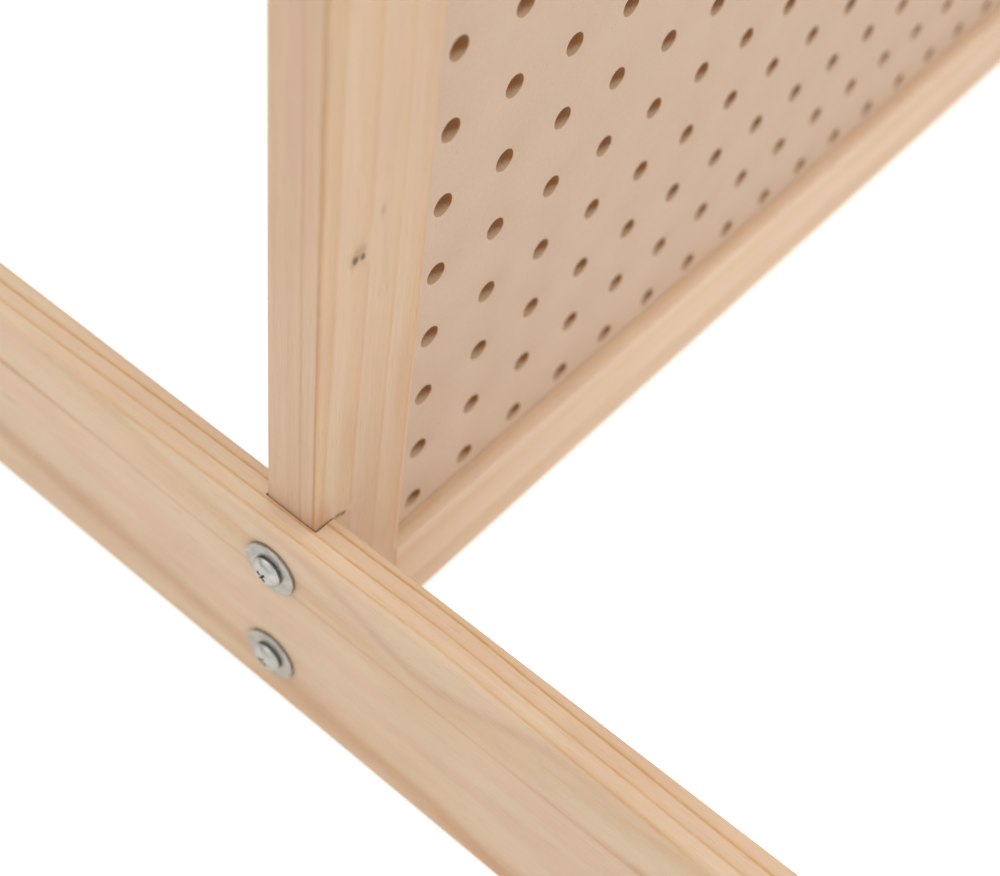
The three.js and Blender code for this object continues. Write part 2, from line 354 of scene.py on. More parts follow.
class Pine(Finish):
    """Planed pine sawn from a round trunk, so that its growth rings run through all of its faces.

    along is the grain's axis, and pith is a point on the trunk's middle line, in millimetres from the
    board's lowest corner.
    """

    def __init__(self, name, node, along, pith, seed):
        super().__init__(name)
        self.low, self.high = (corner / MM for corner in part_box(node))
        self.along = along
        self.across = [axis for axis in (X, Y, Z) if axis != along]
        self.point = self.place()
        self.parts = self.split(self.point)
        self.shifted = self.vector("ADD", self.point, (seed * 317.0, seed * 211.0, seed * 131.0))
        self.seed = seed
        from_pith = self.vector("SUBTRACT", self.point, Vector(pith) + self.low)
        flat = [1.0] * 3
        flat[along] = 0.0
        self.from_pith = self.vector("MULTIPLY", from_pith, flat)
        self.radius = self.vector("LENGTH", self.from_pith)

    def stretched(self, length, width):
        """Noise coordinates for features of about this length along the grain and width across it."""
        scales = [1 / width] * 3
        scales[self.along] = 1 / length
        return self.vector("MULTIPLY", self.shifted, scales)

    def bend_rings(self, wander, swells=()):
        """Lets the rings wander, and bulge by (place along the grain, reach, height) swells."""
        for length, width, amount in ((170, 60, 1.0), (70, 14, 0.28), (22, 4, 0.07)):
            self.radius = self.add(self.radius, self.swing(self.stretched(length, width), amount * wander))
        self.radius = self.add(self.radius, self.swing(self.stretched(1.8, 0.8), 0.3))
        for centre, reach, height in swells:
            self.radius = self.add(self.radius, self.hump(self.parts[self.along], centre, reach, height))

    def gap_to(self, place, size):
        """Distance from a place, as a multiple of an ellipsoid's three half-sizes."""
        return self.vector("LENGTH", self.vector("DIVIDE", self.vector("SUBTRACT", self.point, place), size))

    def bend_round(self, knots):
        """Pushes the rings aside round each knot."""
        for place, size, _ in knots:
            self.radius = self.add(self.radius, self.ease(self.gap_to(place, size), 0.5, 3.0, 1.2, 0.0))

    def latewood(self, ring, boundary, shape, contrast):
        """How dark the rings make each point. boundary is where one ring ends, from the pith.

        A face cut square to the rings shows them at their sharpest, and one along a ring softens them.
        """
        turns = self.add(self.math("DIVIDE", self.radius, ring), -boundary / ring)
        dark = self.curve(self.math("FRACT", turns), shape)
        which = self.combine(self.math("FLOOR", turns), self.seed * 3.1, 0.5)
        strength = self.node("ShaderNodeTexWhiteNoise", {"Vector": which}).outputs["Value"]
        fade = self.ease(self.noise(self.stretched(110, 24)), 0.3, 0.65, 0.6, 1.0)
        dark = self.times(dark, self.ease(strength, 0.0, 1.0, 0.6, 1.0), fade, contrast)
        facing = self.vector("DOT_PRODUCT", self.normal(), self.vector("NORMALIZE", self.from_pith))
        dark = self.times(dark, self.ease(self.math("ABSOLUTE", facing), 0.75, 1.0, 1.0, 0.5))
        broken = self.ease(self.noise(self.stretched(4, 0.35), detail=3.0), 0.3, 0.7, 0.7, 1.2)
        return self.times(dark, broken)

    def fine_lines(self):
        """Faint lines that follow the rings."""
        along = self.times(self.parts[self.along], 1 / 30)
        return self.noise(self.combine(self.times(self.radius, 1.5), along, self.seed * 5.3), detail=3.0)

    def add_streak(self, tone, axis, height, slope, half_width, strength, middle=0.0, reach=1000.0,
                   dip=(0.0, 1.0, 0.0)):
        """A resin streak at a height above the board's lowest corner that rises along the grain.

        It fades out at a reach each way from its middle, and dip is a (place, reach, height) bend in it.
        """
        wander = self.swing(self.stretched(45, 200), 1.6)
        centre = self.add(self.times(self.parts[self.along], slope), wander, height + self.low[axis])
        centre = self.add(centre, self.hump(self.parts[self.along], *dip))
        level = self.math("SUBTRACT", self.parts[axis], centre)
        width = self.add(self.swing(self.stretched(30, 200), 0.8 * half_width), half_width)
        line = self.hump(level, 0.0, width)
        ends = self.hump(self.parts[self.along], middle, reach)
        ragged = self.ease(self.noise(self.stretched(7, 0.5), detail=3.0), 0.3, 0.7, 0.7, 1.15)
        return self.mix(self.times(line, ends, ragged, strength), tone, RESIN)

    def add_knot(self, tone, place, size, strength):
        """A small dark knot or nick with a resin halo."""
        gap = self.gap_to(place, size)
        gap = self.add(gap, self.swing(self.shifted, 1.1, scale=0.9, detail=3.0))
        tone = self.mix(self.ease(gap, 0.6, 2.2, 0.3 * strength, 0.0), tone, RESIN)
        return self.mix(self.ease(gap, 0.3, 1.1, strength, 0.0), tone, KNOT)

    def add_dark_patch(self, tone, place, size, strength):
        """A soft darker patch with ragged ends."""
        gap = self.add(self.gap_to(place, size), self.swing(self.stretched(12, 1.5), 0.7, detail=3.0))
        return self.mix(self.ease(gap, 0.2, 1.3, strength, 0.0), tone, RESIN)

    def end_grain(self):
        """1 where the board is cut across the grain."""
        facing = self.math("ABSOLUTE", self.vector("DOT_PRODUCT", self.normal(), AXES[self.along]))
        return self.ease(facing, 0.55, 0.95)

    def wear_and_highlight(self):
        """1 on the long arrises, fading out over a couple of millimetres. It marks sanded wear and a painted
        highlight.
        """
        reach = 0.0
        for axis in self.across:
            from_low = self.math("SUBTRACT", self.parts[axis], self.low[axis])
            from_high = self.math("SUBTRACT", self.high[axis], self.parts[axis])
            reach = self.add(self.math("MINIMUM", from_low, from_high), reach)
        patchy = self.ease(self.noise(self.stretched(30, 5)), 0.3, 0.7, 0.35, 1.0)
        return self.times(self.ease(reach, 0.4, 2.2, 1.0, 0.0), patchy)


def pine(name, node, along, pith, ring, boundary, seed, shape=SOFT_LATEWOOD, contrast=0.8, wander=4.0,
         swells=(), streaks=(), knots=(), stains_and_shade=(), tones=(EARLYWOOD, BLUSH), calm=None):
    """A pine finish, with lengths in millimetres.

    ring is the rings' width, boundary the distance from the pith at which one of them ends, shape and
    contrast how its latewood darkens, and wander how much the rings bend. tones are the early wood's
    two colours. calm is (axis, start, end): the rings fade out between these distances from the low face.
    """
    w = Pine(name, node, along, pith, seed)
    w.bend_rings(wander, swells)
    w.bend_round(knots)
    late = w.latewood(ring, boundary, shape, contrast)
    if calm:
        axis, start, end = calm
        late = w.times(late, w.ease(w.parts[axis], w.low[axis] + start, w.low[axis] + end, 1.0, 0.3))

    tone = w.mix(w.ease(w.noise(w.stretched(70, 9), detail=3.0), 0.36, 0.66), *tones)
    tone = w.mix(late, tone, LATEWOOD)
    canals = w.ease(w.noise(w.stretched(8, 0.25), detail=1.0), 0.62, 0.76, 0.0, 0.32)
    tone = w.mix(canals, tone, RESIN)
    for streak in streaks:
        tone = w.add_streak(tone, *streak)
    for dark_patch in stains_and_shade:
        tone = w.add_dark_patch(tone, *dark_patch)
    for knot in knots:
        tone = w.add_knot(tone, *knot)

    fibre = w.noise(w.stretched(24, 0.4), detail=4.0, rough=0.65)
    end = w.end_grain()
    pores = w.noise(w.stretched(3, 0.3), detail=3.0)
    shade = w.times(
        w.ease(fibre, 0.25, 0.75, 0.955, 1.035),
        w.ease(w.fine_lines(), 0.3, 0.7, 0.985, 1.01),
        w.ease(w.noise(w.stretched(230, 40), detail=1.0), 0.3, 0.7, 0.975, 1.02),
        w.math("SUBTRACT", 1.0, w.times(end, w.ease(pores, 0.3, 0.7, 0.3, 0.12))),
        # Lighter arrises: sanded wear and a painted highlight
        w.add(1.0, w.times(w.wear_and_highlight(), 0.05)),
    )
    rough = w.add(w.ease(fibre, 0.2, 0.8, 0.56, 0.68), w.times(late, -0.08), w.times(end, 0.15))
    relief = w.add(w.times(fibre, 0.55), w.times(late, 0.35), w.times(pores, end, 1.2))
    normal = w.bump(relief, 0.06 * MM, 0.55)
    return w.set(Base_Color=w.shaded(tone, shade), Roughness=rough, Normal=normal, Specular_IOR_Level=0.3)


# ---- Other materials ----

BOARD = colour(212, 184, 160)
DULL_BOARD = colour(209, 181, 157)
DARK_FIBRE = colour(160, 122, 88)
PALE_FIBRE = colour(226, 206, 184)
CORE = colour(182, 134, 90)
DARK_CORE = colour(156, 108, 66)
PALE_DUST_AND_LIGHT = colour(218, 188, 154)


def fibreboard_face(name):
    """The board's pressed face: smooth, with fine specks and a few dark fibres."""
    w = Finish(name)
    here = w.place()
    cloud = w.noise(here, scale=1 / 30, detail=4.0)
    speck = w.noise(here, scale=1.1, detail=5.0, rough=0.7)
    tone = w.mix(w.ease(cloud, 0.35, 0.65), BOARD, DULL_BOARD)
    turned = w.vector("ADD", w.vector("MULTIPLY", here, (0.9, 1.0, 0.35)), (9.0, 4.0, 2.0))
    fleck = w.ease(w.noise(turned, detail=2.0), 0.69, 0.77, 0.0, 0.25)
    tone = w.mix(fleck, tone, DARK_FIBRE)
    pale = w.ease(w.noise(w.vector("MULTIPLY", here, (0.5, 1.0, 1.1)), detail=2.0), 0.68, 0.76, 0.0, 0.25)
    tone = w.mix(pale, tone, PALE_FIBRE)
    tone = w.shaded(tone, w.ease(speck, 0.25, 0.75, 0.955, 1.035))
    rough = w.ease(speck, 0.2, 0.8, 0.5, 0.62)
    normal = w.bump(speck, 0.04 * MM, 0.6)
    return w.set(Base_Color=tone, Roughness=rough, Normal=normal, Specular_IOR_Level=0.3)


def fibreboard_cut(name):
    """The board's drilled and sawn edges: the brown, furry core, paler on walls that face up near each mouth
    and darker deeper in. The paleness is partly dust and partly painted light, and the darkening is painted
    shade.
    """
    w = Finish(name)
    here = w.place()
    layers = w.noise(w.vector("MULTIPLY", here, (0.35, 2.4, 0.35)), detail=3.0, rough=0.6)
    fur = w.noise(here, scale=3.5, detail=4.0, rough=0.7)
    tone = w.mix(layers, DARK_CORE, CORE)
    low, high = span("pegboard", Y)
    # Painted light and shade: walls that face up near a mouth turn pale, and walls deeper in stay brown;
    # part of the paleness is dust
    under = w.math("SUBTRACT", (high - low) / 2 / MM, w.math("ABSOLUTE", w.split(here)[Y]))
    facing_up = w.split(w.normal())[Z]
    dust_and_light = w.add(facing_up, w.swing(here, 0.5, scale=1.6, detail=3.0), w.times(under, -0.22))
    tone = w.mix(w.ease(dust_and_light, 0.1, 0.7, 0.0, 0.75), tone, PALE_DUST_AND_LIGHT)
    tone = w.shaded(tone, w.ease(fur, 0.25, 0.75, 0.86, 1.1))
    normal = w.bump(fur, 0.12 * MM, 0.8)
    return w.set(Base_Color=tone, Roughness=0.85, Normal=normal, Specular_IOR_Level=0.2)


def metal(name, bright, dull, grime, rough_low, rough_high, side_wall_shade=0.0):
    """A plated metal with soft clouding, hairline scratches, grime in spots, and painted shade on its side
    walls.
    """
    w = Finish(name)
    here = w.place()
    cloud = w.noise(here, scale=0.35, detail=4.0, rough=0.6)
    grain = w.noise(here, scale=4.0, detail=3.0)
    hair = w.noise(w.vector("MULTIPLY", here, (1.0, 9.0, 0.9)), detail=2.0)
    tone = w.mix(w.ease(cloud, 0.3, 0.7), bright, dull)
    tone = w.mix(w.ease(w.noise(here, scale=0.8, detail=5.0), 0.6, 0.78, 0.0, 0.35), tone, grime)
    # Painted shade: faces whose normal lies across X, the side walls of heads and washers, are darkened by
    # the side-wall factor
    facing = w.math("ABSOLUTE", w.split(w.normal())[X])
    tone = w.shaded(tone, w.ease(facing, 0.05, 0.35, 1.0 - side_wall_shade, 1.0))
    rough = w.add(w.ease(cloud, 0.25, 0.75, rough_low, rough_high), w.ease(hair, 0.6, 0.72, 0.0, 0.12))
    normal = w.bump(w.add(w.times(grain, 0.5), w.times(hair, 0.6)), 0.012 * MM, 0.6)
    return w.set(Base_Color=tone, Roughness=rough, Metallic=1.0, Normal=normal)


def zinc_plate(name, bright, dull, side_wall_shade):
    grime = colour(146, 146, 138)
    return metal(name, bright, dull, grime, 0.25, 0.38, side_wall_shade)


def machined_brass():
    bright, dull, grime = colour(222, 190, 118), colour(196, 160, 92), colour(130, 98, 52)
    return metal("machined_brass", bright, dull, grime, 0.2, 0.34)


def beech(name):
    """Plain dowel wood with the short dark flecks of beech."""
    w = Finish(name)
    here = w.place()
    grain = w.noise(w.vector("MULTIPLY", here, (1 / 18, 1.6, 1.6)), detail=4.0, rough=0.6)
    fleck = w.noise(w.vector("MULTIPLY", here, (0.5, 3.2, 3.2)), detail=1.0)
    tone = w.mix(w.ease(grain, 0.3, 0.7), colour(214, 178, 134), colour(192, 150, 104))
    tone = w.mix(w.ease(fleck, 0.64, 0.72, 0.0, 0.5), tone, colour(150, 104, 66))
    rough = w.ease(grain, 0.2, 0.8, 0.6, 0.75)
    return w.set(Base_Color=tone, Roughness=rough, Normal=w.bump(grain, 0.05 * MM, 0.6))


# ---- Wooden pieces ----

def foot(side, wood):
    node = f"foot_{side}"
    low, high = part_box(node)
    bm = block(low, high)
    round_over(bm, edges_along(bm, X), FOOT_CORNER, 8)
    rims = [edge for edge in bm.edges if abs(edge.verts[0].co.x - edge.verts[1].co.x) < MM / 100]
    round_over(bm, rims, FOOT_EASE, 6)
    piece = object_from(f"{node}_pine", mesh_from(bm, node), [wood])

    out = outward(side)
    stile_low, stile_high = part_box(f"stile_{side}")
    floor_x = face_x(f"stile_{side}", side) + out * NOTCH_FLOOR_GAP
    ends = sorted((floor_x, face_x(node, side, facing_out=False) - out * BIT))
    cutters = [block(
        (ends[0], stile_low.y - NOTCH_SIDE_GAP, low.z - BIT),
        (ends[1], stile_high.y + NOTCH_SIDE_GAP, high.z + BIT),
    )]
    for level in LEVELS:
        height = middle(f"foot_washer_{side}_{level}").z
        outer = (face_x(node, side) + out * BIT, 0, height)
        cutters.append(rod(outer, (floor_x - out * BIT, 0, height), SHANK_RADIUS + SLIP_GAP))
    carve(piece, cutters)
    ease_sawn_edges(piece)
    smooth(piece.data)
    return fit(piece, node)


def groove_depth():
    """The board's edge plus the gap past it, from the frame's inner edge."""
    return span("rail_bottom", Z)[1] - span("pegboard", Z)[0] + BLIND_GAP


def groove_half_width():
    low, high = span("pegboard", Y)
    return (high - low) / 2 + GROOVE_GAP


def dowel_hole(node, from_x, to_x):
    low, high = span(node, Z)
    height = (low + high) / 2
    return rod((from_x, 0, height), (to_x, 0, height), (high - low) / 2 + SLIP_GAP)


def dowel_nodes(edges=("bottom", "top"), sides=SIDES):
    corners = [f"{edge}_{side}" for edge in edges for side in sides]
    return [f"corner_dowel_{corner}_{row}" for corner in corners for row in ("outer", "inner")]


def stile(side, wood):
    node = f"stile_{side}"
    bm = block(*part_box(node))
    round_over(bm, edges_along(bm, Z), MEMBER_EASE, 5)
    piece = object_from(f"{node}_pine", mesh_from(bm, node), [wood])

    out = outward(side)
    inner = face_x(node, side, facing_out=False)
    outer = face_x(node, side)
    depth, half = groove_depth(), groove_half_width()
    ends = sorted((inner + out * depth, inner - out * BIT))
    bottom = span("rail_bottom", Z)[1] - depth
    top = span("rail_top", Z)[0] + depth
    cutters = [block((ends[0], -half, bottom), (ends[1], half, top))]
    for dowel in dowel_nodes(sides=(side,)):
        cutters.append(dowel_hole(dowel, inner - out * BIT, face_x(dowel, side) + out * BLIND_GAP))
    for level in LEVELS:
        insert = f"threaded_insert_{side}_{level}"
        radius = (span(insert, Y)[1] - span(insert, Y)[0]) / 2 + SLIP_GAP
        tip = face_x(insert, side, facing_out=False) - out * BLIND_GAP
        height = middle(insert).z
        cutters.append(rod((outer + out * BIT, 0, height), (tip, 0, height), radius))
    carve(piece, cutters)
    ease_sawn_edges(piece)
    smooth(piece.data)
    return fit(piece, node)


def rail(edge, wood):
    node = f"rail_{edge}"
    low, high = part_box(node)
    bm = block(low, high)
    round_over(bm, edges_along(bm, X), MEMBER_EASE, 5)
    piece = object_from(f"{node}_pine", mesh_from(bm, node), [wood])

    depth, half = groove_depth(), groove_half_width()
    if edge == "bottom":
        heights = (high.z - depth, high.z + BIT)
    else:
        heights = (low.z - BIT, low.z + depth)
    cutters = [block((low.x - BIT, -half, heights[0]), (high.x + BIT, half, heights[1]))]
    for side in SIDES:
        out = outward(side)
        for dowel in dowel_nodes(edges=(edge,), sides=(side,)):
            tip = face_x(dowel, side, facing_out=False) - out * BLIND_GAP
            cutters.append(dowel_hole(dowel, tip, face_x(node, side) + out * BIT))
    carve(piece, cutters)
    ease_sawn_edges(piece)
    smooth(piece.data)
    return fit(piece, node)


# ---- The perforated board ----

def cell_edge(angle, left, right, down, up):
    """Where a ray from a hole's centre meets the edge of its cell, stretched to the cell's four reaches."""
    c, s = math.cos(angle), math.sin(angle)
    scale = 1 / max(abs(c), abs(s))
    x, z = c * scale, s * scale
    return x * (right if x > 0 else left), z * (up if z > 0 else down)


def cell_loops(bm, centre, corners, y, inward):
    """Rings of points on one face of the board, from the cell's edge to the bottom of the hole's lip."""
    shoulder = 0.3 * HOLE_LIP
    rings = ((HOLE_RADIUS + HOLE_LIP, 0.0), (HOLE_RADIUS + shoulder, shoulder), (HOLE_RADIUS, HOLE_LIP))
    x, z = centre
    loops = [[bm.verts.new((x + dx, y, z + dz)) for dx, dz in corners]]
    for radius, depth in rings:
        loop = []
        for k in range(HOLE_CORNERS):
            angle = 2 * math.pi * k / HOLE_CORNERS
            point = (x + radius * math.cos(angle), y + inward * depth, z + radius * math.sin(angle))
            loop.append(bm.verts.new(point))
        loops.append(loop)
    return loops


def join_loops(bm, first, second, material_index=0):
    for k in range(len(first)):
        m = (k + 1) % len(first)
        bm.faces.new((first[k], first[m], second[m], second[k])).material_index = material_index


def close_edges(bm, front, back, low, high):
    """The board's own edges, where a cell reaches one."""
    for k in range(len(front)):
        m = (k + 1) % len(front)
        a, b = front[k].co, front[m].co
        for axis in (X, Z):
            for edge in (low[axis], high[axis]):
                if abs(a[axis] - edge) < MM / 100 and abs(b[axis] - edge) < MM / 100:
                    bm.faces.new((front[k], front[m], back[m], back[k])).material_index = 1


def pegboard(face, cut):
    """One cell for each hole, from the cell's edge to the hole's eased mouth, on both faces."""
    low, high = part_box("pegboard")
    first_x = -(HOLE_COLUMNS - 1) / 2 * HOLE_PITCH
    first_z = span("rail_bottom", Z)[1] + FIRST_ROW
    half = HOLE_PITCH / 2
    bm = bmesh.new()
    for column in range(HOLE_COLUMNS):
        x = first_x + column * HOLE_PITCH
        left = x - low.x if column == 0 else half
        right = high.x - x if column == HOLE_COLUMNS - 1 else half
        for row in range(HOLE_ROWS):
            z = first_z + row * HOLE_PITCH
            down = z - low.z if row == 0 else half
            up = high.z - z if row == HOLE_ROWS - 1 else half
            angles = [2 * math.pi * k / HOLE_CORNERS for k in range(HOLE_CORNERS)]
            corners = [cell_edge(angle, left, right, down, up) for angle in angles]
            front = cell_loops(bm, (x, z), corners, low.y, 1)
            back = cell_loops(bm, (x, z), corners, high.y, -1)
            for loops in (front, back):
                for ring, (outer, inner) in enumerate(zip(loops, loops[1:])):
                    join_loops(bm, outer, inner, 0 if ring < 2 else 1)
            join_loops(bm, front[-1], back[-1], 1)
            close_edges(bm, front[0], back[0], low, high)
    bmesh.ops.remove_doubles(bm, verts=bm.verts, dist=MM / 1000)
    piece = object_from("pegboard_panel", mesh_from(bm, "pegboard_panel"), [face, cut])
    smooth(piece.data, 35)
    return fit(piece, "pegboard")


# ---- Turned pieces ----

def turned(name, rows, corners, base, out, material, closed_ring=False):
    """A turned solid on an axis along X.

    rows are (distance, radius) pairs. Distance runs outwards from base, and radius may be a function
    of the angle. A ring closes on itself, and anything else closes at its two ends.
    """
    bm = bmesh.new()
    loops = []
    for distance, radius in rows:
        loop = []
        for k in range(corners):
            angle = 2 * math.pi * k / corners
            r = radius(angle) if callable(radius) else radius
            point = base + Vector((out * distance, r * math.cos(angle), r * math.sin(angle)))
            loop.append(bm.verts.new(point))
        loops.append(loop)
    for first, second in zip(loops, loops[1:]):
        join_loops(bm, first, second)
    if closed_ring:
        join_loops(bm, loops[-1], loops[0])
    else:
        bm.faces.new(loops[0])
        bm.faces.new(loops[-1])
    return object_from(name, mesh_from(bm, name), [material])


def arc(distance, centre_radius, radius, start, end, steps):
    """(distance, radius) points round an arc, with angles in degrees from the outward axis."""
    points = []
    for k in range(steps + 1):
        angle = math.radians(start + (end - start) * k / steps)
        points.append((distance + radius * math.cos(angle), centre_radius + radius * math.sin(angle)))
    return points


def thread(distance, crest, root, pitch):
    """The radius of a screw thread at one distance, as a function of the angle."""
    def radius(angle):
        # Crest, root and the two flanks each take a quarter of the pitch
        turn = (distance / pitch + angle / (2 * math.pi)) % 1.0
        rise = min(1.0, max(0.0, 1.5 - abs(turn - 0.5) * 4))
        return root + (crest - root) * rise
    return radius


def threaded_rows(start, end, crest, root, pitch, step):
    """Rows of a thread that runs in and out gently at its two ends."""
    rows = []
    count = round(abs(end - start) / step)
    for k in range(1, count):
        distance = start + (end - start) * k / count
        run_in = min(1.0, k / 8, (count - k) / 8)
        rows.append((distance, thread(distance, root + (crest - root) * run_in, root, pitch)))
    return rows


def washer(side, level, material):
    node = f"foot_washer_{side}_{level}"
    low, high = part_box(node)
    thick = high.x - low.x
    outer = (high.y - low.y) / 2
    inner = SHANK_RADIUS + SLIP_GAP
    rolled = 0.4 * MM
    burr = 0.12 * MM
    base = middle(node)
    base.x = face_x(node, side, facing_out=False)
    rows = [(burr, inner), (0.0, inner + burr), (0.0, outer - burr), (burr, outer)]
    rows += arc(thick - rolled, outer - rolled, rolled, 90, 0, 6)
    rows += arc(thick - rolled, inner + rolled, rolled, 0, -90, 4)
    piece = turned(f"{node}_zinc", rows, 72, base, outward(side), material, closed_ring=True)
    smooth(piece.data, 50)
    return fit(piece, node)


def cross_recess(top, out, spin):
    """Cutters for a cross recess: two tapered wings, wide at the mouth and narrow at the floor."""
    wings = []
    for turn in (0, math.pi / 2):
        c, s = math.cos(spin + turn), math.sin(spin + turn)
        bm = bmesh.new()
        loops = []
        for rise, (reach, half) in ((BIT, RECESS_MOUTH), (0.0, RECESS_MOUTH), (-RECESS_DEPTH, RECESS_FLOOR)):
            loop = []
            for a, b in ((reach, half), (-reach, half), (-reach, -half), (reach, -half)):
                loop.append(bm.verts.new(top + Vector((out * rise, a * c - b * s, a * s + b * c))))
            loops.append(loop)
        bm.faces.new(loops[0])
        bm.faces.new(loops[-1])
        for first, second in zip(loops, loops[1:]):
            join_loops(bm, first, second)
        wings.append(bm)
    return wings


def crown(head, height, steps=16):
    """(rise, radius) points over a pan head: a tight shoulder, then a shallow crown."""
    points = []
    for k in range(1, steps):
        reach = 1 - (k / steps) ** 1.4
        points.append((height * (1 - reach ** 2.6) ** 0.75, head * reach))
    points.append((height, 0.02 * MM))
    return points


def screw(side, level, spin, material):
    node = f"foot_screw_{side}_{level}"
    low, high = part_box(node)
    out = outward(side)
    base = middle(node)
    base.x = face_x(f"foot_washer_{side}_{level}", side) + out * WASHER_GAP
    top = Vector((face_x(node, side), base.y, base.z))
    height = abs(top.x - base.x)
    length = high.x - low.x - height
    head = (high.y - low.y) / 2
    root = SHANK_RADIUS - THREAD_DEPTH
    tip = 0.45 * MM
    step = 0.12 * MM
    thread_end = -1.0 * MM
    # Distances run outwards from under the head: the tip, the thread, the neck and the head's edge
    rows = [(-length, root - tip), (tip - length, root)]
    rows += threaded_rows(tip - length, thread_end, SHANK_RADIUS, root, SCREW_PITCH, step)
    rows += [(-0.9 * MM, root + 0.1 * MM), (-0.3 * MM, root + 0.15 * MM), (0.0, root + 0.4 * MM)]
    rows += [(0.0, head - 0.25 * MM), (0.12 * MM, head - 0.06 * MM), (0.3 * MM, head), (HEAD_RIM, head)]
    rows += [(HEAD_RIM + rise, radius) for rise, radius in crown(head, height - HEAD_RIM)]
    piece = turned(f"{node}_zinc", rows, 64, base, out, material)
    carve(piece, cross_recess(top, out, spin))
    smooth(piece.data, 40)
    return fit(piece, node)


def insert(side, level, material):
    node = f"threaded_insert_{side}_{level}"
    low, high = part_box(node)
    length = high.x - low.x
    outer = (high.y - low.y) / 2
    outer_root = outer - INSERT_THREAD_DEPTH
    bore = SHANK_RADIUS + SLIP_GAP
    mouth = bore + 0.4 * MM
    step = 0.15 * MM
    base = middle(node)
    base.x = face_x(node, side, facing_out=False)
    rows = [(0.0, mouth), (0.0, outer_root - 0.1 * MM)]
    rows += threaded_rows(0.0, length, outer, outer_root, INSERT_PITCH, step)
    rows += [(length, outer_root - 0.1 * MM), (length, mouth)]
    rows += threaded_rows(length - 0.4 * MM, 0.4 * MM, bore + 0.3 * MM, bore, SCREW_PITCH, step)
    piece = turned(f"{node}_brass", rows, 48, base, outward(side), material, closed_ring=True)
    smooth(piece.data, 40)
    return fit(piece, node)


def dowel(node, material):
    low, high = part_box(node)
    length = high.x - low.x
    radius = (high.z - low.z) / 2
    chamfer = 1.0 * MM

    def fluted(angle):
        return radius - FLUTE_DEPTH * (0.5 + 0.5 * math.cos(DOWEL_FLUTES * angle)) ** 3

    shoulder = (0.35 * chamfer, radius - 0.5 * chamfer)
    rows = [(0.0, radius - chamfer), shoulder, (chamfer, fluted)]
    rows += [(length - chamfer, fluted), (length - shoulder[0], shoulder[1]), (length, radius - chamfer)]
    base = middle(node)
    base.x = low.x
    piece = turned(f"{node}_beech", rows, 96, base, 1, material)
    smooth(piece.data, 45)
    return fit(piece, node)


# ---- Each board's own wood ----

# Swells are (place along the grain, reach, height). Streaks are add_streak's values, from the axis on.
# Knots, stains and painted shade are (place, half-sizes, strength). Places are in the stand's frame, in
# millimetres.

def left_foot_wood():
    outer = face_x("foot_left", "left") / MM
    swells = ((-40, 200, 3.0), (-58, 34, 0.6))
    streaks = (
        (Z, 15.0, 0.075, 9.0, 0.4),
        (Z, 64.0, 0.009, 1.3, 0.25),
        (Z, 64.3, 0.009, 2.4, 0.75, 150, 110),
        (Z, 62.5, -0.01, 3.6, 0.6, -170, 80),
        (Z, 86.0, 0.0, 5.5, 0.32, -60, 115, (-58, 52, -13)),
    )
    knots = (
        ((outer, 131.5, 44.5), (3, 2.6, 1.8), 0.4),
        ((outer, 120, 47), (3, 5, 1.0), 0.15),
    )
    return pine("pine_foot_left", "foot_left", along=Y, pith=(350, 0, 40), ring=5.1, boundary=349.6, seed=1,
                shape=THIN_LATEWOOD, contrast=1.15, wander=0.8, swells=swells, streaks=streaks, knots=knots)


def right_foot_wood():
    return pine("pine_foot_right", "foot_right", along=Y, pith=(-120, 0, 52), ring=5.4, boundary=122, seed=2,
                shape=THIN_LATEWOOD, contrast=0.85, wander=3.0)


def left_stile_wood():
    front = span("stile_left", Y)[0] / MM
    knots = (
        ((-295.2, front, 188.9), (1.4, 3, 2.0), 0.9),
        ((-292.5, front, 188.6), (1.1, 3, 1.7), 0.85),
        ((-293.3, front, 191.2), (2.8, 3, 2.4), 0.28),
        ((-285.8, front, 199.5), (1.0, 3, 2.2), 0.2),
        ((-297.2, front, 87.7), (1.6, 3, 0.9), 0.8),
        ((-294.9, front, 86.7), (1.6, 3, 0.9), 0.8),
    )
    streaks = (
        (Y, 1.2, 0.0, 1.0, 0.5),
        (Y, 5.6, 0.008, 0.9, 0.35),
        (Y, 11.0, 0.0, 13.0, 0.05),
    )
    stains_and_shade = (
        # Painted shade on the stile's foot, just above the foot's top; the two after it are stains
        ((-304, front, 91), (4, 7, 10), 0.3),
        ((-295, front, 118), (4, 3, 18), 0.14),
        ((-273, front, 128), (3.5, 3, 26), 0.14),
    )
    tones = (colour(221, 192, 162), colour(219, 187, 159))
    return pine("pine_stile_left", "stile_left", along=Z, pith=(-150, -370, 0), ring=4.68, boundary=405.1,
                seed=3, shape=WIDE_LATEWOOD, contrast=1.0, wander=0.9, swells=((260, 200, -1.1),),
                streaks=streaks, knots=knots, stains_and_shade=stains_and_shade, tones=tones, calm=(Y, 2, 6))


def right_stile_wood():
    return pine("pine_stile_right", "stile_right", along=Z, pith=(52, -34, 0), ring=5.8, boundary=60, seed=4,
                shape=WIDE_LATEWOOD, contrast=0.55)


def bottom_rail_wood():
    tones = (colour(235, 208, 180), colour(232, 204, 177))
    return pine("pine_rail_bottom", "rail_bottom", along=X, pith=(0, 80, -23), ring=9.9, boundary=88.2,
                seed=5, contrast=0.5, wander=2.5, tones=tones)


def top_rail_wood():
    return pine("pine_rail_top", "rail_top", along=X, pith=(0, 90, -20), ring=5.6, boundary=95, seed=6,
                contrast=0.55)


# ---- Building the stand ----

